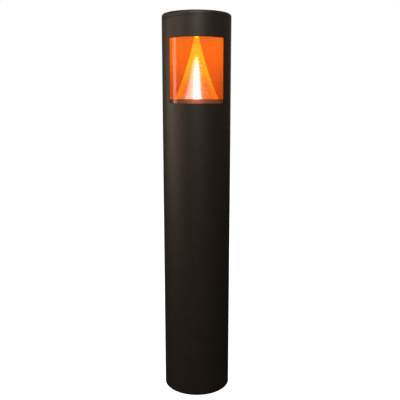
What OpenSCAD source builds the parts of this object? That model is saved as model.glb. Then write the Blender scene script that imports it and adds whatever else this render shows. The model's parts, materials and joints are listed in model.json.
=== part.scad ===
// Round bollard light with one front window: a one-piece extruded shaft, a flat top cap that carries a
// sealed light engine (LED ceiling, lens tube, cone reflector), a driver tray, and an anchor base that the
// shaft turns on for aiming. Millimetres, +Z up, origin on the ground at the centre, window facing -Y.

/* [Body] */
// Height from the ground to the flat top
total_h = 1067; // [980:1:1200]
// Outer diameter of the shaft and the cap
body_d = 190; // [186:1:200]
// Wall thickness of the extruded shaft
wall = 4; // [3:0.5:5]

/* [Top cap] */
// Height of the cap that shows above the shaft
cap_h = 14; // [13:1:20]
// Radius of the rounded edge around the flat top
cap_edge_r = 7; // [6:1:12]

/* [Window] */
// Distance from the flat top down to the upper edge of the window
window_drop = 67; // [66:1:78]
// Height of the window
window_h = 170; // [150:1:190]
// Width of the window, measured straight across
window_w = 142; // [120:1:150]
// Corner radius of the window
window_corner_r = 3; // [1:0.5:6]

/* [Light engine] */
// Wall thickness of the clear lens tube
lens_t = 4; // [3:0.5:4]
// How far the lens seats reach past the window's lower edge, where they show as a sill
sill_h = 11; // [6:1:14]
// Number of LEDs in the ring
led_count = 12; // [6:1:14]
// Radius of the LED ring
led_ring_r = 22; // [20:1:24]

/* [Driver] */
// Length of the LED driver's case
driver_l = 180; // [140:5:180]
// Width of the driver tray
tray_w = 70; // [66:1:80]

/* [Anchor base] */
// Diameter of the circle that the anchor bolts stand on
bolt_circle_d = 127; // [120:1:130]
// Diameter of each anchor bolt hole
bolt_hole_d = 14; // [11:0.5:15]
// Number of anchor bolt holes
bolt_count = 4; // [3:1:4]
// Diameter of the middle opening for the conduit and the supply cable
conduit_d = 84; // [60:1:86]
// Height of the anchor base
base_h = 62; // [56:1:80]

/* [Hidden] */
$fn = 72;
eps = 1;

// Body radii and levels
body_r = body_d / 2;
bore_r = body_r - wall;
shaft_top = total_h - cap_h;
edge_break = 0.6;
front = -90;
rear = 90;

// Metric screws: sizes that follow from the thread's diameter
m3 = 3;
m4 = 4;
m5 = 5;
function shank_r(d) = d / 2 - 0.05;
function hole_r(d) = d / 2 + 0.1;
function head_r(d) = 0.9 * d;
function head_h(d) = 0.55 * d;

// Top cap
cap_t = 5;
spigot_r = bore_r - 0.3;
spigot_in_r = spigot_r - 7;
spigot_h = 18;
cap_screw_z = shaft_top - spigot_h / 2;
cap_screw_angles = [0, 90, 180];
cap_screw_l = 11;
sink_r = 4.6;
sink_depth = 2.1;
sink_play = 0.4;
cap_bolt_r = 60;
cap_bolt_angles = [30, 150, 270];
cap_bolt_reach = 9;
post_r = 6;

// Window and lens
window_top = total_h - window_drop;
window_base = window_top - window_h;
seat_r = bore_r - 0.4;
lens_r = bore_r - 1.5;
lens_in_r = lens_r - lens_t;
collar_r = lens_in_r - 0.5;
collar_in_r = collar_r - 4.5;
gasket_t = 1.5;

// Light chamber: the floor under the lens, with its cable hole and vent, and the ceiling above it
floor_z = window_base - 9;
floor_t = 10;
ceiling_z = window_top + 22;
ceiling_t = 8;
sink_top = total_h - cap_t - 12;
cap_boss_low = sink_top + 3;
cable_notch_w = 12;
vent_place = [-45, -20];
vent_r = 6;
vent_head = [9, 5];
grommet_r = 2.55;

// Reflectors
sheet_t = 1;
back_reflector_r = collar_in_r - 0.5;
back_reflector_half_angle = 110;
ceiling_sheet_z = ceiling_z - 7.5;
cone_top_z = ceiling_sheet_z;
cone_top_r = 5;
cone_spread = 0.21;
cone_flare = 0.0006;
cone_wall = 1.2;
cone_flange_w = 8;
cone_steps = 14;
cone_h = cone_top_z - floor_z;
cone_screw_r = cone_outer_r(cone_h) + cone_flange_w / 2;
cone_screw_angles = [rear, rear + 120, rear + 240];
rivet_angles = [rear - 80, rear + 80];
rivet_z = floor_z + 8;
rivet_r = 1.6;

// LEDs
board_r = 44;
board_t = 1.6;
board_z = ceiling_z - board_t;
board_screw_r = 38;
sheet_screw_r = 70;
engine_angles = [front, front + 120, front + 240];
led_t = 0.8;
optic_z = ceiling_z - 4.5;
optic_t = 1.5;
optic_r = 32;
optic_in_r = 13;
dome_r = 3.7;
connector_y = [34, 41];

// Tie rod through the cone, with its washer and nut
rod_r = 3;
rod_low_z = floor_z - floor_t - 14;
rod_top_z = ceiling_z + 19;
rod_play = 0.2;
washer_t = 1.6;
nut_h = 5.4;

// Driver tray, hanging from the chamber floor
tray_top = floor_z - floor_t;
tray_t = 1.5;
tray_h = 345;
tray_y = 12;
tray_low = tray_top - tray_h;
tray_flange_l = 30;
tray_screw_x = [-22, 22];
tray_screw_y = tray_y + 20;
ear_t = 2.5;
ear_l = 10;
driver_w = 52;
driver_t = 34;
driver_low = tray_top - 30 - driver_l;
surge_size = [44, 30, 46];
surge_low = tray_low + 65;
block_size = [48, 20, 22];
block_low = tray_low + 15;
pole_pitch = 15;
pocket_depth = 5;
ground_x = 27;
ground_z = tray_low + 50;
lug_t = 1.2;
driver_screw_z = [driver_low - ear_l / 2, driver_low + driver_l + ear_l / 2];
surge_screw_x = [-surge_size[0] / 2 - ear_l / 2, surge_size[0] / 2 + ear_l / 2];
surge_mid = surge_low + surge_size[2] / 2;

// Anchor base
skirt_r = bore_r - 0.5;
skirt_t = 7.5;
lip_t = 3;
flange_t = 10;
groove_z = 40;
groove_half_h = 4;
groove_depth = 3.5;
set_screw_r = 4;
set_screw_angles = [0, 90, 180];

// Cables and wires
cable_r = 1.8;
wire_r = 1.3;
cable_y = (back_reflector_r + lens_in_r) / 2;
cable_hole = [18, tray_top - 16];

// Radius of the cone reflector at a depth below its tip: nearly straight, flaring a little
function cone_outer_r(depth) = cone_top_r + cone_spread * depth + cone_flare * depth * depth;

// Points of an arc, from one angle to another
function arc(cx, cy, r, from, to, steps) =
    [for (i = [0:steps]) let (a = from + (to - from) * i / steps) [cx + r * cos(a), cy + r * sin(a)]];

// A smooth curve through points
function spline(a, b, c, d, t) =
    0.5 * (2 * b + (c - a) * t + (2 * a - 5 * b + 4 * c - d) * t * t + (3 * b - a - 3 * c + d) * t * t * t);
function smooth(p, n) = [
    for (i = [0:len(p) - 2]) for (k = [0:n - 1])
        spline(p[max(i - 1, 0)], p[i], p[i + 1], p[min(i + 2, len(p) - 1)], k / n),
    p[len(p) - 1]
];
function unit(v) = v / norm(v);
function tangents(p) =
    [for (i = [0:len(p) - 1]) unit(p[min(i + 1, len(p) - 1)] - p[max(i - 1, 0)])];
// Each ring's side direction, carried along the curve so that the tube never twists
function carried(t, i, n) =
    i == len(t) ? [] : let (u = unit(n - (n * t[i]) * t[i])) concat([u], carried(t, i + 1, u));

// A round tube along a smooth curve through points
module wire(points, r, start_side = [1, 0, 0], steps = 4, sides = 8) {
    path = smooth(points, steps);
    along = tangents(path);
    side = carried(along, 0, start_side);
    rings = len(path);
    polyhedron(
        points = [
            for (i = [0:rings - 1]) for (k = [0:sides - 1])
                let (a = 360 * k / sides)
                    path[i] + r * (cos(a) * side[i] + sin(a) * cross(along[i], side[i]))
        ],
        faces = concat(
            [[for (k = [0:sides - 1]) k]],
            [[for (k = [0:sides - 1]) (rings - 1) * sides + sides - 1 - k]],
            [for (i = [0:rings - 2]) for (k = [0:sides - 1]) let (m = (k + 1) % sides)
                [i * sides + k, (i + 1) * sides + k, (i + 1) * sides + m, i * sides + m]]
        )
    );
}

module ring(r_out, r_in, z0, z1) {
    translate([0, 0, z0]) difference() {
        cylinder(r = r_out, h = z1 - z0);
        translate([0, 0, -eps]) cylinder(r = r_in, h = z1 - z0 + 2 * eps);
    }
}

// Places children at a radius and an angle, at a height
module polar(r, angle, z = 0) {
    rotate([0, 0, angle]) translate([r, 0, z]) children();
}

// Turns a shape drawn along +Z to point outwards along a radius
module outwards(r, angle, z) {
    polar(r, angle, z) rotate([0, 90, 0]) children();
}

// A rod between two heights
module rod(r, z0, z1) {
    translate([0, 0, z0]) cylinder(r = r, h = z1 - z0);
}

// A box between two corners
module box(low, high) {
    translate(low) cube(high - low);
}

// A round-headed socket screw of thread d: its head sits below z = 0 and its shank goes up
module pan_screw(d, shank_l) {
    r = head_r(d);
    h = head_h(d);
    difference() {
        union() {
            translate([0, 0, -h]) cylinder(r1 = r * 0.75, r2 = r, h = h / 2);
            translate([0, 0, -h / 2]) cylinder(r = r, h = h / 2);
            cylinder(r = shank_r(d), h = shank_l);
        }
        translate([0, 0, -h - eps]) cylinder(r = r / 2, h = h * 0.6 + eps, $fn = 6);
    }
}

// The window's outline, pushed out through the front wall only
module window_cut() {
    inset = window_w / 2 - window_corner_r;
    translate([0, 0, window_base]) rotate([90, 0, 0]) linear_extrude(body_r + eps) {
        translate([-inset, 0]) square([2 * inset, window_h]);
        translate([-window_w / 2, window_corner_r]) square([window_w, window_h - 2 * window_corner_r]);
        for (x = [-inset, inset]) for (z = [window_corner_r, window_h - window_corner_r])
            translate([x, z]) circle(r = window_corner_r, $fn = 32);
    }
}

module shaft_tube() {
    mouth_r = sink_r + 0.5;
    color("#2b2723") difference() {
        rotate_extrude($fn = 144) polygon([
            [bore_r, lip_t], [body_r - edge_break, lip_t], [body_r, lip_t + edge_break],
            [body_r, shaft_top - edge_break], [body_r - edge_break, shaft_top], [bore_r, shaft_top]
        ]);
        window_cut();
        for (a = cap_screw_angles) {
            outwards(bore_r - eps, a, cap_screw_z) cylinder(r = hole_r(m5), h = wall + 2 * eps);
            outwards(body_r - sink_depth - sink_play, a, cap_screw_z)
                cylinder(r1 = hole_r(m5), r2 = mouth_r, h = sink_depth + sink_play);
            outwards(body_r - sink_play / 2, a, cap_screw_z) cylinder(r = mouth_r, h = eps);
        }
        for (a = set_screw_angles)
            outwards(bore_r - eps, a, groove_z) cylinder(r = set_screw_r + 0.05, h = wall + 2 * eps);
    }
}

module top_cap() {
    under = total_h - cap_t;
    color("#2b2723") difference() {
        union() {
            rotate_extrude($fn = 144) polygon(concat(
                [[0, under], [0, total_h]],
                arc(body_r - cap_edge_r, total_h - cap_edge_r, cap_edge_r, 90, 0, 8),
                [
                    [body_r, shaft_top + edge_break], [body_r - edge_break, shaft_top],
                    [spigot_r, shaft_top], [spigot_r, shaft_top - spigot_h + 1],
                    [spigot_r - 1, shaft_top - spigot_h],
                    [spigot_in_r, shaft_top - spigot_h], [spigot_in_r, under]
                ]
            ));
            for (a = cap_bolt_angles)
                polar(cap_bolt_r, a, cap_boss_low) cylinder(r = post_r, h = under - cap_boss_low + eps);
        }
        for (a = cap_bolt_angles)
            polar(cap_bolt_r, a, cap_boss_low - eps) cylinder(r = hole_r(m5), h = cap_bolt_reach + 2 * eps);
        for (a = cap_screw_angles)
            outwards(spigot_in_r - eps, a, cap_screw_z)
                cylinder(r = hole_r(m5), h = spigot_r - spigot_in_r + 2 * eps);
    }
}

// Countersunk security screws that hold the cap's spigot in the shaft
module cap_side_screws() {
    face = body_r - 0.3;
    neck = face - sink_depth;
    socket_r = 1.7;
    pin_r = 0.5;
    color("#55524e") for (a = cap_screw_angles) difference() {
        union() {
            outwards(face - cap_screw_l, a, cap_screw_z)
                cylinder(r = shank_r(m5), h = cap_screw_l - sink_depth);
            outwards(neck, a, cap_screw_z) cylinder(r1 = shank_r(m5), r2 = sink_r, h = sink_depth);
        }
        outwards(neck + 0.5, a, cap_screw_z) difference() {
            cylinder(r = socket_r, h = sink_depth, $fn = 6);
            cylinder(r = pin_r, h = sink_depth - eps, $fn = 24);
        }
    }
}

// Bolts that hang the heat sink from the cap's bosses
module cap_bolts() {
    color("silver") for (a = cap_bolt_angles)
        polar(cap_bolt_r, a, ceiling_z) pan_screw(m5, cap_boss_low + cap_bolt_reach - ceiling_z);
}

module heat_sink() {
    fin_count = 24;
    hub_r = 20;
    fin_r = 79;
    fin_t = 2.4;
    fin_low = ceiling_z + ceiling_t;
    color("#c9cbce") difference() {
        union() {
            rod(seat_r, ceiling_z, fin_low);
            ring(collar_r, collar_in_r, window_top + 3, ceiling_z + eps);
            rod(hub_r, fin_low - eps, sink_top);
            for (i = [0:fin_count - 1])
                polar(hub_r - eps, i * 360 / fin_count, fin_low - eps)
                    translate([0, -fin_t / 2, 0])
                        cube([fin_r - hub_r + eps, fin_t, sink_top - fin_low + eps]);
            for (a = cap_bolt_angles)
                polar(cap_bolt_r, a, fin_low - eps) cylinder(r = post_r, h = cap_boss_low + eps - fin_low);
        }
        for (a = cap_bolt_angles)
            polar(cap_bolt_r, a, ceiling_z - eps) cylinder(r = hole_r(m5), h = total_h - ceiling_z);
        rod(rod_r + 0.05, ceiling_z - eps, rod_top_z + 2);
        box([-cable_notch_w / 2, collar_in_r - 3, window_top],
            [cable_notch_w / 2, collar_r + 1, ceiling_z]);
        for (a = engine_angles) {
            polar(board_screw_r, a, ceiling_z - eps) cylinder(r = hole_r(m3), h = ceiling_t - eps);
            polar(sheet_screw_r, a, ceiling_z - eps) cylinder(r = hole_r(m3), h = ceiling_t - eps);
        }
    }
}

module led_board() {
    color("#e9e9e4") difference() {
        rod(board_r, board_z, ceiling_z);
        rod(8, board_z - eps, ceiling_z + eps);
        for (a = engine_angles)
            polar(board_screw_r, a, board_z - eps) cylinder(r = hole_r(m3), h = board_t + 2 * eps);
    }
}

module led_board_screws() {
    color("silver") for (a = engine_angles) polar(board_screw_r, a, board_z) pan_screw(m3, 7);
}

module leds() {
    size = 3.5;
    color("#ffb000") for (i = [0:led_count - 1])
        polar(led_ring_r, front + i * 360 / led_count, board_z - led_t)
            translate([-size / 2, -size / 2, 0]) cube([size, size, led_t]);
}

// Moulded optic: a plate with one dome under each LED, on a rim that stands on the board
module led_optic() {
    color("#f4ead2") {
        ring(optic_r, optic_in_r, optic_z, optic_z + optic_t);
        ring(optic_r, optic_r - 2, optic_z, board_z);
        for (i = [0:led_count - 1]) polar(led_ring_r, front + i * 360 / led_count, optic_z + 0.2)
            rotate_extrude($fn = 32) intersection() {
                circle(r = dome_r, $fn = 48);
                translate([0, -dome_r]) square(dome_r);
            }
    }
}

module led_connector() {
    color("ivory") box([-5, connector_y[0], board_z - 4.2], [5, connector_y[1], board_z]);
}

module ceiling_reflector() {
    color("#f2f2ee") difference() {
        ring(back_reflector_r, optic_r + 1.5, ceiling_sheet_z, ceiling_sheet_z + sheet_t);
        box([-4, back_reflector_r - 6, ceiling_sheet_z - eps],
            [4, body_r, ceiling_sheet_z + sheet_t + eps]);
        for (a = engine_angles)
            polar(sheet_screw_r, a, ceiling_sheet_z - eps) cylinder(r = hole_r(m3), h = sheet_t + 2 * eps);
    }
}

// Screws with spacers that hold the ceiling reflector under the heat sink
module ceiling_screws() {
    color("silver") for (a = engine_angles) {
        polar(sheet_screw_r, a, ceiling_sheet_z) pan_screw(m3, 13);
        polar(sheet_screw_r, a) ring(3.5, hole_r(m3), ceiling_sheet_z + sheet_t, ceiling_z);
    }
}

module lens_gasket(z) {
    color("#3a3a3a") ring(lens_r, lens_in_r, z, z + gasket_t);
}

module lens_tube() {
    color("#d9ecf2", 0.35) ring(lens_r, lens_in_r, floor_z + gasket_t, ceiling_z - gasket_t);
}

// Curved white sheet behind the cone, open towards the window
module back_reflector() {
    half = back_reflector_half_angle;
    color("#f2f2ee") difference() {
        translate([0, 0, floor_z]) rotate([0, 0, rear - half])
            rotate_extrude(angle = 2 * half, $fn = 144) translate([back_reflector_r - sheet_t, 0])
                square([sheet_t, ceiling_sheet_z - floor_z - 0.4]);
        for (a = rivet_angles)
            outwards(back_reflector_r - 3, a, rivet_z) cylinder(r = rivet_r + 0.05, h = 5);
    }
}

module reflector_rivets() {
    inner = back_reflector_r - sheet_t;
    color("silver") for (a = rivet_angles) {
        outwards(inner - 1.2, a, rivet_z) cylinder(r1 = 2, r2 = 3, h = 1.1);
        outwards(inner - 0.2, a, rivet_z) cylinder(r = rivet_r, h = 4.4);
    }
}

module cone_reflector() {
    depths = [for (i = [0:cone_steps]) (cone_h - cone_wall) * i / cone_steps];
    outer = [for (d = depths) [cone_outer_r(d), cone_top_z - d]];
    inner = [for (i = [cone_steps:-1:0])
        [cone_outer_r(depths[i]) - cone_wall, cone_top_z - cone_wall - depths[i]]];
    flange_r = cone_outer_r(cone_h) + cone_flange_w;
    color("#d8d9dc") difference() {
        rotate_extrude($fn = 96) polygon(concat(
            [[rod_r + rod_play, cone_top_z]],
            outer,
            [[flange_r, floor_z + cone_wall], [flange_r, floor_z]],
            inner,
            [[rod_r + rod_play, cone_top_z - cone_wall]]
        ));
        for (a = cone_screw_angles)
            polar(cone_screw_r, a, floor_z - eps) cylinder(r = hole_r(m4), h = cone_wall + 2 * eps);
    }
}

module cone_screws() {
    color("silver") for (a = cone_screw_angles)
        polar(cone_screw_r, a, floor_z + cone_wall) mirror([0, 0, 1]) pan_screw(m4, 9);
}

// Floor of the light chamber: a plate that seats the lens, with a collar inside it. The collar's outer
// face slopes in above the window's lower edge, where it catches the light and shows as a sill.
module chamber_floor() {
    sill_land = 1;
    sill_top = window_base + sill_h;
    color("#4a4038") difference() {
        union() {
            rod(seat_r, floor_z - floor_t, floor_z);
            rotate_extrude($fn = 144) polygon([
                [collar_in_r, floor_z - eps], [collar_r, floor_z - eps], [collar_r, window_base],
                [collar_in_r + sill_land, sill_top], [collar_in_r, sill_top]
            ]);
        }
        rod(rod_r + rod_play, floor_z - floor_t - eps, floor_z + eps);
        box([-cable_notch_w / 2, collar_in_r - 3, floor_z],
            [cable_notch_w / 2, collar_r + 1, sill_top + eps]);
        translate([0, cable_y, floor_z - floor_t - eps])
            cylinder(r = grommet_r + 0.05, h = floor_t + 2 * eps);
        for (a = cone_screw_angles)
            polar(cone_screw_r, a, floor_z - floor_t + 1) cylinder(r = hole_r(m4), h = floor_t);
        for (a = rivet_angles) outwards(collar_in_r - 1, a, rivet_z) cylinder(r = rivet_r + 0.05, h = 4.2);
        for (x = tray_screw_x)
            translate([x, tray_screw_y, tray_top - eps]) cylinder(r = hole_r(m4), h = 8 + eps);
        translate([vent_place.x, vent_place.y, tray_top - eps])
            cylinder(r = vent_r + 0.05, h = floor_t + 2 * eps);
    }
}

module tie_rod() {
    color("silver") rod(rod_r, rod_low_z, rod_top_z);
}

module tie_rod_washer() {
    color("silver") ring(7, rod_r + 0.1, tray_top - washer_t, tray_top);
}

module tie_rod_nut() {
    color("silver") translate([0, 0, tray_top - washer_t - nut_h]) difference() {
        cylinder(r = 5.8, h = nut_h, $fn = 6);
        translate([0, 0, -eps]) cylinder(r = rod_r + 0.03, h = nut_h + 2 * eps);
    }
}

// Vent plug that lets the sealed chamber breathe
module breather_vent() {
    color("#303030") translate([vent_place.x, vent_place.y, tray_top]) difference() {
        union() {
            cylinder(r = vent_r, h = floor_t + 1.5);
            translate([0, 0, -vent_head[1]]) cylinder(r = vent_head[0], h = vent_head[1]);
        }
        translate([0, 0, -vent_head[1] - eps]) cylinder(r = vent_r / 2, h = vent_head[1] - eps);
    }
}

module cable_grommet() {
    color("#2c2c2c") translate([0, cable_y, 0]) difference() {
        union() {
            rod(grommet_r, tray_top - eps, floor_z + 1);
            rod(5, tray_top - 1.5, tray_top);
        }
        rod(cable_r + 0.15, tray_top - 3, floor_z + 2);
    }
}

// Two-core cable from the driver, up behind the back reflector and over to the LED board
module led_cable() {
    top = board_z - 2.1;
    hole_z = cable_hole[1];
    start_z = driver_low + driver_l;
    color("#303030") wire([
        [cable_hole[0], -5, start_z], [cable_hole[0], -5, start_z + 5], [cable_hole[0], -1, hole_z - 2],
        [cable_hole[0], tray_y, hole_z], [cable_hole[0] - 3, 40, hole_z - 2], [6, 68, hole_z - 2],
        [0.5, cable_y - 2, hole_z + 3], [0, cable_y, tray_top - 4], [0, cable_y, floor_z],
        [0, cable_y, window_base + 60], [0, cable_y, window_top - 40], [0, cable_y, window_top - 2],
        [0, cable_y - 1.4, top - 1.6], [0, cable_y - 6, top], [0, 60, top], [0, connector_y[1], top]
    ], cable_r);
}

module driver_tray() {
    lip = 8;
    x = tray_w / 2;
    y2 = tray_y + tray_t;
    color("#b9bcc0") difference() {
        union() {
            box([-x, tray_y, tray_low], [x, y2, tray_top]);
            box([-x, tray_y, tray_top - tray_t], [x, tray_y + tray_flange_l, tray_top]);
            for (s = [-1, 1]) translate([s * (x - tray_t / 2), 0, 0])
                box([-tray_t / 2, tray_y - lip, tray_low], [tray_t / 2, tray_y + eps, tray_top - 40]);
        }
        for (x = tray_screw_x) translate([x, tray_screw_y, tray_top - 5]) cylinder(r = hole_r(m4), h = 10);
        front_hole(cable_hole[0], cable_hole[1], 5);
        for (z = driver_screw_z) front_hole(0, z, hole_r(m4));
        for (x = surge_screw_x) front_hole(x, surge_mid, hole_r(m4));
        front_hole(ground_x, ground_z, hole_r(m4));
    }
}

// A hole bored along Y through the tray and anything screwed to its front
module front_hole(x, z, r) {
    translate([x, tray_y - 5, z]) rotate([-90, 0, 0]) cylinder(r = r, h = 10);
}

// A screw driven from the front into the tray, its head on a face at y
module tray_front_screw(x, y, z) {
    translate([x, y, z]) rotate([-90, 0, 0]) pan_screw(m4, 6);
}

module tray_screws() {
    color("silver") for (x = tray_screw_x)
        translate([x, tray_screw_y, tray_top - tray_t]) pan_screw(m4, 8.5);
}

module led_driver() {
    ear_half_w = 14;
    bevel = 1.5;
    high = driver_low + driver_l;
    x = driver_w / 2;
    color("#e3e3df") difference() {
        union() {
            box([-x, tray_y - driver_t, driver_low], [x, tray_y, high]);
            box([-ear_half_w, tray_y - ear_t, driver_low - ear_l], [ear_half_w, tray_y, high + ear_l]);
        }
        for (z = driver_screw_z) front_hole(0, z, hole_r(m4));
        for (s = [-1, 1]) translate([s * x, tray_y - driver_t, 0]) rotate([0, 0, 45])
            box([-bevel, -bevel, driver_low - eps], [bevel, bevel, high + eps]);
    }
}

module driver_screws() {
    color("silver") for (z = driver_screw_z) tray_front_screw(0, tray_y - ear_t, z);
}

module surge_protector() {
    ear_half_h = 7;
    x = surge_size[0] / 2;
    color("#1f3350") difference() {
        union() {
            box([-x, tray_y - surge_size[1], surge_low], [x, tray_y, surge_low + surge_size[2]]);
            box([-x - ear_l, tray_y - ear_t, surge_mid - ear_half_h],
                [x + ear_l, tray_y, surge_mid + ear_half_h]);
        }
        for (x = surge_screw_x) front_hole(x, surge_mid, hole_r(m4));
    }
}

module surge_protector_screws() {
    color("silver") for (x = surge_screw_x) tray_front_screw(x, tray_y - ear_t, surge_mid);
}

module terminal_block() {
    x = block_size[0] / 2;
    face = tray_y - block_size[1];
    rim = 4;
    pocket_half_w = 5;
    entry_r = 2.6;
    color("#dcdcd2") difference() {
        box([-x, face, block_low], [x, tray_y, block_low + block_size[2]]);
        for (p = [-1:1]) translate([p * pole_pitch, 0, 0]) {
            box([-pocket_half_w, face - eps, block_low + rim],
                [pocket_half_w, face + pocket_depth, block_low + block_size[2] - rim]);
            translate([0, tray_y - block_size[1] / 2, block_low - eps]) cylinder(r = entry_r, h = 6);
        }
    }
}

// Slotted screws at the bottom of the block's pockets
module terminal_screws() {
    head_t = 3;
    slot_w = 0.8;
    y = tray_y - block_size[1] + pocket_depth;
    color("gold") for (p = [-1:1])
        translate([p * pole_pitch, y, block_low + block_size[2] / 2]) difference() {
            rotate([90, 0, 0]) cylinder(r = 3.2, h = head_t);
            translate([-4, -head_t - eps, -slot_w / 2]) cube([8, 2, slot_w]);
        }
}

// Line and neutral: from the terminal block to the surge protector, and on to the driver
module supply_wires() {
    y = tray_y - 10;
    block_top = block_low + block_size[2];
    surge_top = surge_low + surge_size[2];
    for (s = [-1, 1]) {
        gap = (surge_low - block_top) / 2;
        reach = (driver_low - surge_top) / 2;
        color(s < 0 ? "black" : "white") {
            wire([[s * 7.5, y, block_top], [s * 8, y - 1, block_top + 4], [s * 12, y - 5, block_top + gap],
                [s * 10, y - 4, surge_low - 4], [s * 10, y - 4, surge_low]], wire_r);
            wire([[s * 10, y - 4, surge_top], [s * 10, y - 4, surge_top + 3],
                [s * 13, y - 9, surge_top + reach], [s * 9, y - 6, driver_low - 3],
                [s * 9, y - 6, driver_low]], wire_r);
        }
    }
}

// From the terminal block to a ring lug on the tray
module ground_wire() {
    lug_r = 4;
    z = ground_z;
    top = block_low + block_size[2];
    color("green") {
        wire([[pole_pitch, tray_y - 10, top], [pole_pitch + 0.5, tray_y - 10, top + 4],
            [ground_x - 5, tray_y - 6, z - 9], [ground_x, tray_y - 2, z - 6.5],
            [ground_x, tray_y - 1.6, z - lug_r]], wire_r);
        translate([ground_x, tray_y, z]) rotate([90, 0, 0]) ring(lug_r, hole_r(m4), 0, lug_t);
    }
}

module ground_screw() {
    color("green") tray_front_screw(ground_x, tray_y - lug_t, ground_z);
}

module anchor_base() {
    bolt_turn = 45;
    rib_t = 5;
    rib_drop = 14;
    rib_in = conduit_d / 2 + 8;
    skirt_in_r = skirt_r - skirt_t;
    color("#8e9094") difference() {
        union() {
            rotate_extrude($fn = 144) polygon([
                [conduit_d / 2, 0], [body_r - edge_break, 0], [body_r, edge_break], [body_r, lip_t],
                [skirt_r, lip_t], [skirt_r, groove_z - groove_half_h],
                [skirt_r - groove_depth, groove_z], [skirt_r, groove_z + groove_half_h],
                [skirt_r, base_h - 2], [skirt_r - 2, base_h], [skirt_in_r, base_h],
                [skirt_in_r, flange_t], [conduit_d / 2, flange_t]
            ]);
            for (i = [0:bolt_count - 1]) rotate([0, 0, bolt_turn + (i + 0.5) * 360 / bolt_count])
                translate([0, rib_t / 2, 0]) rotate([90, 0, 0]) linear_extrude(rib_t) polygon([
                    [rib_in, flange_t - eps], [skirt_in_r + eps, flange_t - eps],
                    [skirt_in_r + eps, base_h - rib_drop], [skirt_in_r - 8, base_h - rib_drop],
                    [rib_in, flange_t + 6]
                ]);
        }
        for (i = [0:bolt_count - 1])
            polar(bolt_circle_d / 2, bolt_turn + i * 360 / bolt_count, -eps)
                cylinder(d = bolt_hole_d, h = flange_t + 2 * eps);
    }
}

// Cone-point screws in the shaft's foot that bite in the base's groove and lock the aim
module base_set_screws() {
    face = body_r - 0.4;
    shank_in = bore_r - 0.1;
    tip_in = skirt_r - groove_depth + 0.6;
    color("#55524e") for (a = set_screw_angles) difference() {
        union() {
            outwards(shank_in, a, groove_z) cylinder(r = set_screw_r, h = face - shank_in);
            outwards(tip_in, a, groove_z) cylinder(r1 = 0.4, r2 = 3.2, h = shank_in - tip_in);
        }
        outwards(face - 3, a, groove_z) cylinder(r = 2.3, h = 4, $fn = 6);
    }
}

anchor_base();
base_set_screws();
shaft_tube();
top_cap();
cap_side_screws();
cap_bolts();
heat_sink();
led_board();
led_board_screws();
leds();
led_optic();
led_connector();
ceiling_reflector();
ceiling_screws();
lens_gasket(ceiling_z - gasket_t);  // upper_lens_gasket
lens_tube();
lens_gasket(floor_z);  // lower_lens_gasket
back_reflector();
reflector_rivets();
cone_reflector();
cone_screws();
chamber_floor();
tie_rod();
tie_rod_washer();
tie_rod_nut();
breather_vent();
cable_grommet();
led_cable();
driver_tray();
tray_screws();
led_driver();
driver_screws();
surge_protector();
surge_protector_screws();
terminal_block();
terminal_screws();
supply_wires();
ground_wire();
ground_screw();
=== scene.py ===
import json
import math

import bmesh
import bpy
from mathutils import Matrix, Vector


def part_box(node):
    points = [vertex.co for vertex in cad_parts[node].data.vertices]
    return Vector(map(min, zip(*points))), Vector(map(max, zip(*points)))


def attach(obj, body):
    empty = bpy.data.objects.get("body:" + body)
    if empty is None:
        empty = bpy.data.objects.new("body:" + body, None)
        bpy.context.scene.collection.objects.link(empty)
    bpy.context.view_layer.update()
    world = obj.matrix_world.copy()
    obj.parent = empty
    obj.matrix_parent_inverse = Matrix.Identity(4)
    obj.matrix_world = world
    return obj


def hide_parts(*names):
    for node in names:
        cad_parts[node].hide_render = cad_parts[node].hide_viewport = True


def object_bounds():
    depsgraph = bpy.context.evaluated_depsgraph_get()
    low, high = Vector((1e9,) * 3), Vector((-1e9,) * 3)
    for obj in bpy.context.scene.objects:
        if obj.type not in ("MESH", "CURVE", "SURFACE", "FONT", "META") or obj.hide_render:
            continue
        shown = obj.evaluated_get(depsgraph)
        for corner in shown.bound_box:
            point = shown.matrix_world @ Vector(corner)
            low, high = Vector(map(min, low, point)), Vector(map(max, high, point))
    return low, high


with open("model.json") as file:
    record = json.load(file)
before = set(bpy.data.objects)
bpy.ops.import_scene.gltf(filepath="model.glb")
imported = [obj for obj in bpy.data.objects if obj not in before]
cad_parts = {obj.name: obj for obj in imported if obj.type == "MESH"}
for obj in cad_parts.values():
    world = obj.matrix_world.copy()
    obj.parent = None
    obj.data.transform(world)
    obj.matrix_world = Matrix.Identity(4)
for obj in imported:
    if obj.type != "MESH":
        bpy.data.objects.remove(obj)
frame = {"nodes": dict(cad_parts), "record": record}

MM = 0.001
nodes = frame["nodes"]
slot_of = {part["node"]: part["material_slot"] for part in frame["record"]["subparts"]}
cad_low, cad_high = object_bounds()


# ---------------------------------------------------------------- places, all read from the frame

def span(name):
    """A node's lowest and highest z."""
    low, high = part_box(name)
    return low.z, high.z


def radius(name):
    """The outer radius of a node that is round about Z."""
    low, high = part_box(name)
    return (high.x - low.x) / 2


def window_box():
    """Half width, lowest z and highest z of the window, from the CAD shaft's own corners."""
    below_screws = span("cap_side_screws")[0] - 15 * MM
    front = [v.co for v in nodes["shaft_tube"].data.vertices if v.co.y < -BODY_R / 3]
    edge = [p for p in front if BASE_TOP < p.z < below_screws]
    return max(p.x for p in edge), min(p.z for p in edge), max(p.z for p in edge)


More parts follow.
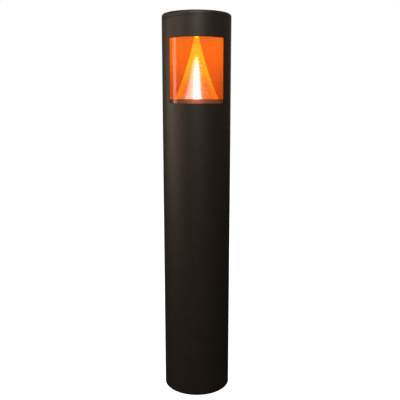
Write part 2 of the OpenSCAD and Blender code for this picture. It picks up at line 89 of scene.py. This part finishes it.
BODY_R = cad_high.x
SHAFT_LOW, SHAFT_TOP = span("shaft_tube")
BASE_TOP = span("anchor_base")[1]
FLOOR_PLAY = 0.4 * MM
BORE_R = radius("chamber_floor") + FLOOR_PLAY
WINDOW_HALF_W, WINDOW_LOW, WINDOW_HIGH = window_box()
WINDOW_CORNER = 3 * MM
LENS_LOW, LENS_TOP = span("lens_tube")
LENS_R = radius("lens_tube")
LENS_WALL = 4 * MM
FLOOR_Z, CONE_TOP_Z = span("cone_reflector")
CONE_BASE_R = radius("cone_reflector")
CEILING_Z = span("ceiling_reflector")[0]
LED_R = radius("leds")

# Degrees round Z: the window's side, and the sides and the rear, where the cap's and the base's screws are
FRONT = -90.0
SCREW_ANGLES = (0.0, 90.0, 180.0)


# ---------------------------------------------------------------- camera and studio

def add_camera():
    """In front of the window, level with its lower edge and looking a little down."""
    distance = 1.5685
    eye_height = 0.836
    side_step = 0.0093
    pitch = math.radians(10.14)
    data = bpy.data.cameras.new("camera")
    data.lens = 49.8
    data.sensor_width = 36.0
    data.clip_start = 0.01
    data.clip_end = 100.0
    camera = bpy.data.objects.new("camera", data)
    bpy.context.scene.collection.objects.link(camera)
    camera.location = (side_step, -distance, eye_height)
    camera.rotation_euler = (math.pi / 2 - pitch, 0.0, 0.0)
    bpy.context.scene.camera = camera


def add_softbox(name, azimuth, elevation, distance, size, power, colour):
    """A rectangular light aimed at the head, placed round it as the views are: azimuth 0 is in front."""
    head = Vector((0.0, 0.0, (WINDOW_LOW + WINDOW_HIGH) / 2))
    a = math.radians(azimuth)
    e = math.radians(elevation)
    away = Vector((math.sin(a) * math.cos(e), -math.cos(a) * math.cos(e), math.sin(e)))
    data = bpy.data.lights.new(name, "AREA")
    data.shape = "RECTANGLE"
    data.size, data.size_y = size
    data.energy = power
    data.color = colour
    light = bpy.data.objects.new(name, data)
    bpy.context.scene.collection.objects.link(light)
    light.visible_camera = False
    light.location = head + away * distance
    light.rotation_euler = (-away).to_track_quat("-Z", "Y").to_euler()


def add_surroundings():
    """White where the camera looks past the object. All else sees a dim room, brightest above eye level."""
    world = bpy.data.worlds.new("studio")
    bpy.context.scene.world = world
    world.use_nodes = True
    tree = world.node_tree
    tree.nodes.clear()
    out = tree.nodes.new("ShaderNodeOutputWorld")
    path = tree.nodes.new("ShaderNodeLightPath")
    seen = tree.nodes.new("ShaderNodeBackground")
    seen.inputs["Color"].default_value = (1.0, 1.0, 1.0, 1.0)
    room = tree.nodes.new("ShaderNodeBackground")
    coords = tree.nodes.new("ShaderNodeTexCoord")
    split = tree.nodes.new("ShaderNodeSeparateXYZ")
    lift = tree.nodes.new("ShaderNodeMapRange")
    lift.inputs["From Min"].default_value = -1.0
    tree.links.new(coords.outputs["Generated"], split.inputs[0])
    tree.links.new(split.outputs["Z"], lift.inputs["Value"])
    # The room's colours from straight down, at 0, past the horizon, at a half, to straight up, at 1
    walls = [(0.0, (0.008, 0.007, 0.006)), (0.38, (0.010, 0.008, 0.007)), (0.47, (0.035, 0.029, 0.024)),
             (0.56, (0.20, 0.18, 0.155)), (0.64, (0.20, 0.18, 0.16)), (0.76, (0.05, 0.045, 0.04))]
    tree.links.new(ramp(tree, lift.outputs["Result"], walls), room.inputs["Color"])
    room.inputs["Strength"].default_value = 1.0
    mix = tree.nodes.new("ShaderNodeMixShader")
    tree.links.new(path.outputs["Is Camera Ray"], mix.inputs["Fac"])
    tree.links.new(room.outputs[0], mix.inputs[1])
    tree.links.new(seen.outputs[0], mix.inputs[2])
    tree.links.new(mix.outputs[0], out.inputs["Surface"])


def add_floor():
    """A plain white floor, lit like the backdrop, with the faintest grain. It throws no light back."""
    half = 8.0
    corners = ((-half, -half), (half, -half), (half, half), (-half, half))
    bm = bmesh.new()
    bm.faces.new([bm.verts.new((x, y, cad_low.z)) for x, y in corners])
    mesh = bpy.data.meshes.new("floor")
    bm.to_mesh(mesh)
    bm.free()
    floor = bpy.data.objects.new("floor", mesh)
    bpy.context.scene.collection.objects.link(floor)
    floor.visible_glossy = False
    floor.visible_diffuse = False
    material, tree, shader = new_material("pale_floor", (0.9, 0.9, 0.9), 0.9)
    white = ramp(tree, noise(tree, 3.0, 2.0), [(0.3, (0.995, 0.995, 0.995)), (0.7, (1.0, 1.0, 1.0))])
    tree.links.new(white, shader.inputs["Emission Color"])
    shader.inputs["Emission Strength"].default_value = 1.0
    mesh.materials.append(material)


def add_studio():
    """Softboxes round a white floor: name, azimuth, elevation, distance, size, power and colour of each."""
    bpy.context.scene.view_settings.view_transform = "Standard"
    add_surroundings()
    add_floor()
    white = (1.0, 1.0, 1.0)
    warm = (1.0, 0.91, 0.80)
    add_softbox("left_strip", -93, -1, 1.9, (1.2, 0.7), 4.8, warm)
    add_softbox("left_low", -66, -8, 2.4, (1.2, 0.25), 2.6, warm)
    add_softbox("left_fill", -56, 14, 2.4, (1.5, 0.35), 4.0, (1.0, 0.95, 0.90))
    add_softbox("upper_left", -46, 40, 2.4, (2.4, 1.0), 4.2, (1.0, 0.98, 0.96))
    add_softbox("front", 2, 19, 3.2, (1.3, 0.5), 14.0, (0.95, 0.98, 1.0))
    add_softbox("overhead", 0, 76, 1.8, (1.4, 0.8), 7.0, white)
    add_softbox("rear", 168, 8, 2.6, (1.2, 1.4), 9.0, (1.0, 0.97, 0.94))
    add_softbox("high_front", 2, 38, 2.4, (1.3, 0.75), 12.2, white)


def add_amber_lamp():
    """The light that the ring of amber LEDs sends down onto the cone, just above the ceiling sheet."""
    above_sheet = 1.5 * MM
    data = bpy.data.lights.new("amber_lamp", "AREA")
    data.shape = "DISK"
    data.size = 2 * LED_R
    data.energy = 0.036
    data.color = AMBER
    lamp = bpy.data.objects.new("amber_lamp", data)
    bpy.context.scene.collection.objects.link(lamp)
    lamp.location = (0.0, 0.0, CEILING_Z + above_sheet)


# ---------------------------------------------------------------- mesh helpers

def finish_piece(name, bm, body, material, replaces, smooth_angle=35.0):
    """Makes an object of a mesh, smooth up to an angle, that rides on a body and takes a material."""
    bmesh.ops.recalc_face_normals(bm, faces=bm.faces)
    mesh = bpy.data.meshes.new(name)
    bm.to_mesh(mesh)
    bm.free()
    mesh.materials.append(material)
    obj = bpy.data.objects.new(name, mesh)
    bpy.context.scene.collection.objects.link(obj)
    mesh.shade_smooth()
    mesh.set_sharp_from_angle(angle=math.radians(smooth_angle))
    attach(obj, body)
    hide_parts(replaces)


def lathe(profile, segments):
    """A closed profile of (radius, z) points turned about Z."""
    bm = bmesh.new()
    rings = []
    for r, z in profile:
        angles = [2 * math.pi * i / segments for i in range(segments)]
        rings.append([bm.verts.new((r * math.cos(a), r * math.sin(a), z)) for a in angles])
    for a, b in zip(rings, rings[1:] + rings[:1]):
        for i in range(segments):
            j = (i + 1) % segments
            bm.faces.new((a[i], a[j], b[j], b[i]))
    return bm


def arc(cx, cz, r, start, end, steps):
    """Points of an arc of a profile, angles in degrees."""
    points = []
    for i in range(steps + 1):
        a = math.radians(start + (end - start) * i / steps)
        points.append((cx + r * math.cos(a), cz + r * math.sin(a)))
    return points


def even(start, end, count):
    """Evenly spaced numbers from start to end, both included."""
    return [start + (end - start) * i / count for i in range(count + 1)]


# A tube's grid of angles (degrees) and heights (metres) is rounded, so that equal places match
ANGLE_DIGITS = 5
HEIGHT_DIGITS = 7
SAME_PLACE = 1e-9


class Hole:
    """A rounded opening in a tube's wall, cut along the radius at one angle, inside a patch of the wall.

    Each point of its outline is (across, up, outward direction), and has a partner on the patch's
    rectangular border; the borders' places are columns (angles) and rows (heights) of the tube's grid.
    The lip's points are (offset outwards, depth), from the patch to the opening's side. The counts are
    the steps in each corner's arc, across the top and bottom, and up each side.
    """

    def __init__(self, angle, z, half_w, half_h, corner, margin, lip, counts):
        self.angle = angle
        self.z = z
        self.lip = lip
        self.outline = []
        self.border = []
        cx, cz = half_w - corner, half_h - corner
        reach = corner + margin
        arc_steps, across_steps, upright_steps = counts
        for turn, (sx, sz) in enumerate(((1, 1), (-1, 1), (-1, -1), (1, -1))):
            from_side = turn % 2 == 0
            order = range(arc_steps + 1) if from_side else range(arc_steps, -1, -1)
            for k in order:
                a = math.pi / 2 * k / arc_steps
                c, s = math.cos(a), math.sin(a)
                stretch = reach / max(c, s)
                point = (sx * (cx + corner * c), sz * (cz + corner * s), sx * c, sz * s)
                self.add(point, (sx * (cx + stretch * c), sz * (cz + stretch * s)))
            if from_side and cx > 0:
                for across in even(sx * cx, -sx * cx, across_steps)[1:-1]:
                    self.add((across, sz * half_h, 0.0, sz), (across, sz * (half_h + margin)))
            if not from_side and cz > 0:
                for up in even(sz * cz, -sz * cz, upright_steps)[1:-1]:
                    self.add((sx * half_w, up, sx, 0.0), (sx * (half_w + margin), up))
        if math.dist(self.border[0], self.border[-1]) < SAME_PLACE:
            self.outline.pop()
            self.border.pop()

    def add(self, point, border):
        """Takes a point of the outline with its partner, unless the partner is the last one's."""
        if self.border and math.dist(self.border[-1], border) < SAME_PLACE:
            return
        self.outline.append(point)
        self.border.append(border)

    def column(self, across):
        """The tube's angle at a distance across the hole."""
        return round(self.angle + math.degrees(math.asin(across / BODY_R)), ANGLE_DIGITS)

    def row(self, up):
        """The tube's height at a distance up the hole."""
        return round(self.z + up, HEIGHT_DIGITS)

    def columns(self):
        """The angles of the patch's border, in order."""
        return sorted({self.column(across) for across, _ in self.border})

    def rows(self):
        """The heights of the patch's border, in order."""
        return sorted({self.row(up) for _, up in self.border})

    def covers(self, column, row):
        """Whether a place on the tube lies inside the patch."""
        columns, rows = self.columns(), self.rows()
        return columns[0] < column < columns[-1] and rows[0] < row < rows[-1]

    def place(self, offset, depth, r, point):
        """An outline point moved outwards by an offset, on a cylinder of radius r or a depth below it."""
        x, z, nx, nz = point
        x, z = x + nx * offset, z + nz * offset
        out = math.sqrt(r * r - x * x) - depth
        a = math.radians(self.angle)
        return (out * math.cos(a) - x * math.sin(a), out * math.sin(a) + x * math.cos(a), self.z + z)


def tube_with_holes(outer, inner, low, high, edge, holes, column_step):
    """A tube about Z with rounded end edges and holes through its wall.

    Its columns are the holes' own, with more between them where two are over column_step degrees apart.
    """
    support = 3 * edge
    quarter_arc = ((0.8, 0.6), (0.6, 0.8), (0.0, 1.0))
    bm = bmesh.new()
    columns = sorted({c for hole in holes for c in hole.columns()})
    filler = []
    for a, b in zip(columns, columns[1:] + [columns[0] + 360]):
        if b - a > column_step:
            filler += even(a, b, math.ceil((b - a) / column_step))[1:-1]
    columns = sorted(columns + [round(c, ANGLE_DIGITS) for c in filler])
    rows = {z for hole in holes for z in hole.rows()}
    for z in (low + edge, low + support, high - support, high - edge):
        rows.add(round(z, HEIGHT_DIGITS))
    rows = sorted(rows)
    made = {}

    def vert(r, column, z):
        key = (r, column, z)
        if key not in made:
            a = math.radians(column)
            made[key] = bm.verts.new((r * math.cos(a), r * math.sin(a), z))
        return made[key]

    # The wall's outside and inside, left open where the holes' patches are
    for i, a in enumerate(columns):
        b = columns[(i + 1) % len(columns)]
        middle = (a + (b if b > a else b + 360)) / 2
        for low_row, high_row in zip(rows, rows[1:]):
            if any(hole.covers(middle, (low_row + high_row) / 2) for hole in holes):
                continue
            corners = ((a, low_row), (b, low_row), (b, high_row), (a, high_row))
            for r in (outer, inner):
                bm.faces.new([vert(r, column, z) for column, z in corners])
        # The two ends, rounded outside
        for row, end, way in ((rows[0], low, -1), (rows[-1], high, 1)):
            rounded = [(outer - edge * (1 - c), end - way * edge * (1 - s)) for c, s in quarter_arc]
            steps = [(outer, row)] + rounded + [(inner, end), (inner, row)]
            for (r1, z1), (r2, z2) in zip(steps, steps[1:]):
                bm.faces.new((vert(r1, a, z1), vert(r1, b, z1), vert(r2, b, z2), vert(r2, a, z2)))

    # Each hole: a ring of faces out to its patch's border, its lip, and its side down to the inside
    for hole in holes:
        rings = [[vert(outer, hole.column(x), hole.row(z)) for x, z in hole.border]]
        for offset, depth in hole.lip:
            rings.append([bm.verts.new(hole.place(offset, depth, outer, p)) for p in hole.outline])
        last_offset = hole.lip[-1][0]
        rings.append([bm.verts.new(hole.place(last_offset, 0.0, inner, p)) for p in hole.outline])
        rings.append([vert(inner, hole.column(x), hole.row(z)) for x, z in hole.border])
        count = len(hole.border)
        for a, b in zip(rings, rings[1:]):
            for i in range(count):
                j = (i + 1) % count
                bm.faces.new((a[i], a[j], b[j], b[i]))
    return bm


# ---------------------------------------------------------------- material helpers

def new_material(name, colour, roughness, metallic=0.0, **inputs):
    """A Principled material. Further inputs are named with _ for a space."""
    material = bpy.data.materials.new(name)
    material.use_nodes = True
    shader = material.node_tree.nodes["Principled BSDF"]
    shader.inputs["Base Color"].default_value = (*colour, 1.0)
    shader.inputs["Roughness"].default_value = roughness
    shader.inputs["Metallic"].default_value = metallic
    for key, value in inputs.items():
        shader.inputs[key.replace("_", " ")].default_value = value
    return material, material.node_tree, shader


def object_point(tree, stretch=(1.0, 1.0, 1.0)):
    """The shaded point in the object's own metres, stretched."""
    coords = tree.nodes.new("ShaderNodeTexCoord")
    mapping = tree.nodes.new("ShaderNodeMapping")
    mapping.inputs["Scale"].default_value = stretch
    tree.links.new(coords.outputs["Object"], mapping.inputs["Vector"])
    return mapping.outputs["Vector"]


def noise(tree, scale, detail=3.0, stretch=(1.0, 1.0, 1.0)):
    """A noise texture in the object's own metres."""
    texture = tree.nodes.new("ShaderNodeTexNoise")
    texture.inputs["Scale"].default_value = scale
    texture.inputs["Detail"].default_value = detail
    tree.links.new(object_point(tree, stretch), texture.inputs["Vector"])
    return texture.outputs["Fac"]


def height(tree, low, high):
    """0 at one height of the object and 1 at another."""
    split = tree.nodes.new("ShaderNodeSeparateXYZ")
    lift = tree.nodes.new("ShaderNodeMapRange")
    lift.inputs["From Min"].default_value = low
    lift.inputs["From Max"].default_value = high
    tree.links.new(object_point(tree), split.inputs[0])
    tree.links.new(split.outputs["Z"], lift.inputs["Value"])
    return lift.outputs["Result"]


def ramp(tree, source, stops):
    """A colour ramp over a value: stops are (position, colour)."""
    node = tree.nodes.new("ShaderNodeValToRGB")
    elements = node.color_ramp.elements
    while len(elements) < len(stops):
        elements.new(0.5)
    for element, (position, colour) in zip(elements, stops):
        element.position = position
        element.color = (*colour, 1.0)
    tree.links.new(source, node.inputs["Fac"])
    return node.outputs["Color"]


def vary_colour(tree, shader, source, colour, spread):
    """Lightens and darkens the base colour a little, by a value around a half."""
    stops = [(0.3, shade(colour, 1.0 - spread)), (0.7, shade(colour, 1.0 + spread))]
    tree.links.new(ramp(tree, source, stops), shader.inputs["Base Color"])


def vary_roughness(tree, shader, source, low, high):
    """Lets the roughness run between two values, by a value around a half."""
    node = tree.nodes.new("ShaderNodeMapRange")
    node.inputs["From Min"].default_value = 0.3
    node.inputs["From Max"].default_value = 0.7
    node.inputs["To Min"].default_value = low
    node.inputs["To Max"].default_value = high
    tree.links.new(source, node.inputs["Value"])
    tree.links.new(node.outputs["Result"], shader.inputs["Roughness"])


def add_bump(tree, shader, source, strength, distance):
    """Relief by a value: the distance is its height in metres."""
    node = tree.nodes.new("ShaderNodeBump")
    node.inputs["Strength"].default_value = strength
    node.inputs["Distance"].default_value = distance
    tree.links.new(source, node.inputs["Height"])
    tree.links.new(node.outputs["Normal"], shader.inputs["Normal"])


def turn_tangent(tree, shader):
    """Grooves that run round the axis, so a highlight stretches across them."""
    tangent = tree.nodes.new("ShaderNodeTangent")
    tangent.direction_type = "RADIAL"
    tangent.axis = "Z"
    tree.links.new(tangent.outputs["Tangent"], shader.inputs["Tangent"])


def shade(colour, factor):
    """A colour made darker or lighter, with no channel above 1."""
    return tuple(min(1.0, c * factor) for c in colour)


# ---------------------------------------------------------------- materials, one for each finish

# AMBER is the LEDs' light, also painted on the chamber's surfaces as glow; GOLDEN is painted glow near the
# cone's tip
AMBER = (1.0, 0.17, 0.003)
GOLDEN = (1.0, 0.19, 0.002)


def powder_coat():
    """Smooth bronze powder coat: faint orange peel, slow changes of tone and gloss, warm reflections."""
    colour = (0.025, 0.0195, 0.0155)
    material, tree, shader = new_material(
        "bronze_powder_coat", colour, 0.46, Specular_IOR_Level=0.8, Specular_Tint=(1.0, 0.84, 0.70, 1.0))
    vary_colour(tree, shader, noise(tree, 14.0, 2.0), colour, 0.10)
    vary_roughness(tree, shader, noise(tree, 60.0, 4.0), 0.43, 0.50)
    add_bump(tree, shader, noise(tree, 700.0, 2.0), 0.10, 0.0004)
    return material


def sill_coat_painted_glow():
    """The same coat on the chamber floor and sill, amber light painted on as glow, most in front of the
    cone.
    """
    # Lighter than the coat elsewhere: painted light on the sill
    colour = (0.05, 0.036, 0.026)
    material, tree, shader = new_material(
        "bronze_powder_coat_painted_glow", colour, 0.5, Specular_IOR_Level=0.4, Emission_Strength=0.52)
    vary_roughness(tree, shader, noise(tree, 60.0, 4.0), 0.46, 0.54)
    sideways = tree.nodes.new("ShaderNodeVectorMath")
    sideways.operation = "LENGTH"
    tree.links.new(object_point(tree, (1.0, 0.0, 0.0)), sideways.inputs[0])
    near = tree.nodes.new("ShaderNodeMapRange")
    near.inputs["From Max"].default_value = radius("chamber_floor")
    tree.links.new(sideways.outputs["Value"], near.inputs["Value"])
    # Painted glow: amber light, brightest in the middle and fading to the sides
    stops = [(0.0, (1.0, 0.24, 0.05)), (0.3, (0.40, 0.09, 0.015)), (1.0, (0.10, 0.022, 0.004))]
    tree.links.new(ramp(tree, near.outputs["Result"], stops), shader.inputs["Emission Color"])
    return material


def cast_aluminium():
    """Sand-cast aluminium with a dull, dark finish: pebbled, and patchy in tone."""
    colour = (0.13, 0.125, 0.118)
    material, tree, shader = new_material("cast_aluminium", colour, 0.6, 0.85)
    grain = noise(tree, 450.0, 5.0)
    vary_colour(tree, shader, noise(tree, 35.0, 4.0), colour, 0.18)
    vary_roughness(tree, shader, grain, 0.45, 0.68)
    add_bump(tree, shader, grain, 0.5, 0.0006)
    return material


def turned_metal(name, colour, roughness):
    """Bright machined metal: fine rings round the axis and a little staining."""
    material, tree, shader = new_material(name, colour, roughness, 1.0)
    rings = noise(tree, 1400.0, 2.0, (0.15, 0.15, 1.0))
    vary_colour(tree, shader, noise(tree, 120.0, 3.0), colour, 0.08)
    vary_roughness(tree, shader, rings, roughness * 0.75, roughness * 1.3)
    add_bump(tree, shader, rings, 0.15, 0.0001)
    return material


def black_oxide():
    """Blackened steel, nearly black, uneven in tone and gloss."""
    colour = (0.035, 0.031, 0.028)
    material, tree, shader = new_material("black_oxide", colour, 0.38, 0.9)
    vary_colour(tree, shader, noise(tree, 300.0, 3.0), colour, 0.25)
    vary_roughness(tree, shader, noise(tree, 900.0, 3.0), 0.30, 0.5)
    return material


def galvanised_sheet():
    """Zinc spangle: crystals of differing tone a few millimetres across."""
    material, tree, shader = new_material("galvanised_sheet", (0.6, 0.62, 0.64), 0.4, 0.9)
    cells = tree.nodes.new("ShaderNodeTexVoronoi")
    cells.inputs["Scale"].default_value = 160.0
    tree.links.new(object_point(tree), cells.inputs["Vector"])
    split = tree.nodes.new("ShaderNodeSeparateColor")
    tree.links.new(cells.outputs["Color"], split.inputs[0])
    tones = [(0.0, (0.50, 0.52, 0.54)), (1.0, (0.70, 0.72, 0.74))]
    tree.links.new(ramp(tree, split.outputs[0], tones), shader.inputs["Base Color"])
    vary_roughness(tree, shader, split.outputs[1], 0.32, 0.48)
    return material


def moulded(name, colour, roughness, grain=500.0, **inputs):
    """A moulded plastic, rubber or painted part: a fine even grain and slight cloudiness."""
    material, tree, shader = new_material(name, colour, roughness, **inputs)
    texture = noise(tree, grain, 3.0)
    vary_colour(tree, shader, noise(tree, 60.0, 3.0), colour, 0.06)
    vary_roughness(tree, shader, texture, roughness * 0.85, roughness * 1.15)
    add_bump(tree, shader, texture, 0.2, 0.0002)
    return material


def clear_acrylic():
    """Polished acrylic tube with the faintest ripple from casting."""
    material, tree, shader = new_material(
        "clear_acrylic", (0.99, 0.985, 0.975), 0.02, Transmission_Weight=1.0, IOR=1.49,
        Specular_IOR_Level=0.4)
    vary_roughness(tree, shader, noise(tree, 40.0, 2.0), 0.01, 0.05)
    add_bump(tree, shader, noise(tree, 25.0, 1.0, (1.0, 1.0, 0.3)), 0.05, 0.0004)
    return material


def moulded_optic():
    """Clear moulded optic, its warm tint and glow painted on for the amber light that passes through it."""
    # Painted light: a warm tint and an amber glow for the LEDs' light passing through
    material, tree, shader = new_material(
        "optic_painted_amber_glow", (1.0, 0.82, 0.5), 0.12, Transmission_Weight=0.9, IOR=1.49,
        Emission_Color=(*AMBER, 1.0), Emission_Strength=0.4)
    vary_roughness(tree, shader, noise(tree, 800.0, 2.0), 0.08, 0.2)
    return material


def led_phosphor():
    """Amber phosphor under a clear skin, lit."""
    colour = (1.0, 0.55, 0.08)
    material, tree, shader = new_material("amber_led_phosphor", colour, 0.3, Emission_Strength=6.0)
    stops = [(0.3, shade(AMBER, 0.9)), (0.7, AMBER)]
    tree.links.new(ramp(tree, noise(tree, 1500.0, 2.0), stops), shader.inputs["Emission Color"])
    return material


def reflector_paint_painted_glow():
    """Reflector paint with the LEDs' amber light painted on, in its colour and a glow strongest at the top.
    """
    # Amber instead of the paint's white: painted light from the LEDs
    colour = (0.56, 0.32, 0.008)
    material, tree, shader = new_material(
        "reflector_paint_painted_amber_light", colour, 0.45, Emission_Strength=0.34, Specular_IOR_Level=0.1)
    vary_colour(tree, shader, noise(tree, 25.0, 2.0), colour, 0.03)
    add_bump(tree, shader, noise(tree, 500.0, 2.0), 0.1, 0.0003)
    # Painted glow: amber light, strongest near the LEDs at the top and fading downwards
    stops = [(0.0, shade(AMBER, 0.02)), (0.35, shade(AMBER, 0.12)),
             (0.75, shade(AMBER, 0.9)), (1.0, (1.0, 0.22, 0.002))]
    glow = ramp(tree, height(tree, FLOOR_Z, CEILING_Z), stops)
    tree.links.new(glow, shader.inputs["Emission Color"])
    return material


def spun_aluminium():
    """Bright spun metal with grooves round the axis; the LEDs' light painted on as glow, golden above,
    amber below.
    """
    colour = (0.93, 0.92, 0.90)
    material, tree, shader = new_material(
        "spun_aluminium", colour, 0.28, 1.0, Anisotropic=0.2, Emission_Strength=2.1)
    turn_tangent(tree, shader)
    vary_roughness(tree, shader, noise(tree, 900.0, 2.0, (0.02, 0.02, 1.0)), 0.26, 0.31)
    # Painted glow: the LEDs' light, golden near the tip and amber lower down
    stops = [(0.1, shade(AMBER, 0.38)), (0.3, shade(AMBER, 0.43)), (0.46, shade(AMBER, 0.85)),
             (0.62, GOLDEN), (0.8, GOLDEN), (0.95, shade(GOLDEN, 0.6))]
    up = height(tree, FLOOR_Z, CONE_TOP_Z)
    tree.links.new(ramp(tree, up, stops), shader.inputs["Emission Color"])
    # Painted light: the base colour turns gold towards the tip, where the amber light falls
    painted_light_tint = [(0.55, colour), (0.68, (0.93, 0.66, 0.16))]
    tree.links.new(ramp(tree, up, painted_light_tint), shader.inputs["Base Color"])
    return material


def finishes():
    """The record's material slots and the materials that show them."""
    return {
        "bronze_coat": powder_coat(),
        "cast_metal": cast_aluminium(),
        "screw_steel": turned_metal("stainless_steel", (0.62, 0.61, 0.58), 0.32),
        "screw_dark": black_oxide(),
        "bare_aluminium": turned_metal("machined_aluminium", (0.78, 0.79, 0.80), 0.38),
        "white_board": moulded("white_solder_mask", (0.86, 0.86, 0.83), 0.25),
        "amber_led": led_phosphor(),
        "clear_optic": moulded_optic(),
        "white_plastic": moulded("white_nylon", (0.84, 0.84, 0.79), 0.45),
        "white_sheet": reflector_paint_painted_glow(),
        "seal_rubber": moulded("silicone_rubber", (0.085, 0.085, 0.085), 0.6, 900.0),
        "clear_lens": clear_acrylic(),
        "bright_reflector": spun_aluminium(),
        "black_plastic": moulded("black_nylon", (0.035, 0.035, 0.035), 0.5),
        "cable_jacket": moulded("cable_jacket", (0.04, 0.04, 0.04), 0.42, 1200.0),
        "galvanised": galvanised_sheet(),
        "driver_case": moulded("white_steel_case", (0.82, 0.82, 0.80), 0.35, 350.0),
        "blue_plastic": moulded("blue_potted_case", (0.045, 0.09, 0.2), 0.4),
        "brass_screw": turned_metal("plated_brass", (0.80, 0.60, 0.27), 0.3),
        "green_jacket": moulded("green_jacket", (0.03, 0.23, 0.075), 0.42, 1200.0),
        "green_screw": moulded("green_zinc", (0.05, 0.32, 0.11), 0.3, 700.0, Metallic=0.8),
    }


# ---------------------------------------------------------------- pieces

def round_hole(angle, z, r, lip):
    """A round hole. All of them have patches of one size, so that their columns fall together."""
    patch = 7 * MM
    counts = (6, 0, 0)
    return Hole(angle, z, r, r, r, patch - r, lip, counts)


def build_shaft(material):
    """Extruded tube: the window and the screw holes are cut through its wall, every edge softened."""
    soft = 0.6 * MM
    support = 1.5 * MM
    window_lip = [(support, 0.0), (soft, 0.0), (0.2 * soft, 0.4 * soft), (0.0, soft)]
    margin = 5 * MM
    counts = (6, 36, 30)
    middle = (WINDOW_LOW + WINDOW_HIGH) / 2
    half_h = (WINDOW_HIGH - WINDOW_LOW) / 2
    holes = [Hole(FRONT, middle, WINDOW_HALF_W, half_h, WINDOW_CORNER, margin, window_lip, counts)]

    sink_r = 5.1 * MM
    drill_r = 2.6 * MM
    sink_depth = 2.4 * MM
    sink_lip = [(0.2 * MM, 0.0), (0.0, 0.2 * MM), (drill_r - sink_r, sink_depth)]
    grub_r = 4.05 * MM
    grub_lip = [(0.3 * MM, 0.0), (0.0, 0.3 * MM)]
    cap_screw_z = sum(span("cap_side_screws")) / 2
    grub_z = sum(span("base_set_screws")) / 2
    for angle in SCREW_ANGLES:
        holes.append(round_hole(angle, cap_screw_z, sink_r, sink_lip))
        holes.append(round_hole(angle, grub_z, grub_r, grub_lip))
    column_step = 3.5
    bm = tube_with_holes(BODY_R, BORE_R, SHAFT_LOW, SHAFT_TOP, soft, holes, column_step)
    finish_piece("shaft", bm, "pole", material, "shaft_tube", smooth_angle=50.0)


def build_lens(material):
    """Clear tube with flame-polished ends."""
    segments = 256
    arc_steps = 4
    r = 0.8 * MM
    support = 2 * r
    inner_r = LENS_R - LENS_WALL
    out, inn = LENS_R - r, inner_r + r
    profile = arc(out, LENS_LOW + r, r, -90, 0, arc_steps)
    profile += [(LENS_R, LENS_LOW + support), (LENS_R, LENS_TOP - support)]
    profile += arc(out, LENS_TOP - r, r, 0, 90, arc_steps)
    profile += arc(inn, LENS_TOP - r, r, 90, 180, arc_steps)
    profile += [(inner_r, LENS_TOP - support), (inner_r, LENS_LOW + support)]
    profile += arc(inn, LENS_LOW + r, r, 180, 270, arc_steps)
    finish_piece("lens", lathe(profile, segments), "pole", material, "lens_tube")


def build_cone(material):
    """Spun sheet cone, nearly straight and flaring to a screwed flange, with the tool's fine ripple."""
    segments = 192
    wall = 1.2 * MM
    tip_r = 5.0 * MM
    hole_r = 3.2 * MM
    flange_w = 8 * MM
    fillet = 1.5 * MM
    flare = 0.6
    ripple = 0.015 * MM
    steps = 110
    inside_every = 10
    tall = CONE_TOP_Z - FLOOR_Z - wall
    foot_r = CONE_BASE_R - flange_w
    spread = (foot_r - tip_r - flare * tall * tall) / tall
    outside, inside = [], []
    for i in range(steps + 1):
        d = tall * i / steps
        wave = ripple * (i % 2) if 0 < i < steps else 0.0
        outside.append((tip_r + spread * d + flare * d * d - wave, CONE_TOP_Z - d))
        if i % inside_every == 0:
            inside.append((max(outside[-1][0] - wall, hole_r), CONE_TOP_Z - wall - d))
    edge = arc(CONE_BASE_R - wall / 2, FLOOR_Z + wall / 2, wall / 2, 90, -90, 6)
    profile = [(hole_r, CONE_TOP_Z)] + outside + [(foot_r + fillet, FLOOR_Z + wall)] + edge
    profile += inside[::-1]
    finish_piece("cone", lathe(profile, segments), "pole", material, "cone_reflector")


def main():
    """Gives every CAD piece its finish, and makes the shaft, the lens and the cone again, finer."""
    add_camera()
    add_studio()
    add_amber_lamp()
    looks = finishes()
    for name, node in nodes.items():
        node.data.materials.clear()
        node.data.materials.append(looks[slot_of[name]])
    # The chamber floor takes the coat with amber light painted on as glow
    nodes["chamber_floor"].data.materials[0] = sill_coat_painted_glow()
    build_shaft(looks["bronze_coat"])
    build_lens(looks["clear_lens"])
    build_cone(looks["bright_reflector"])


main()
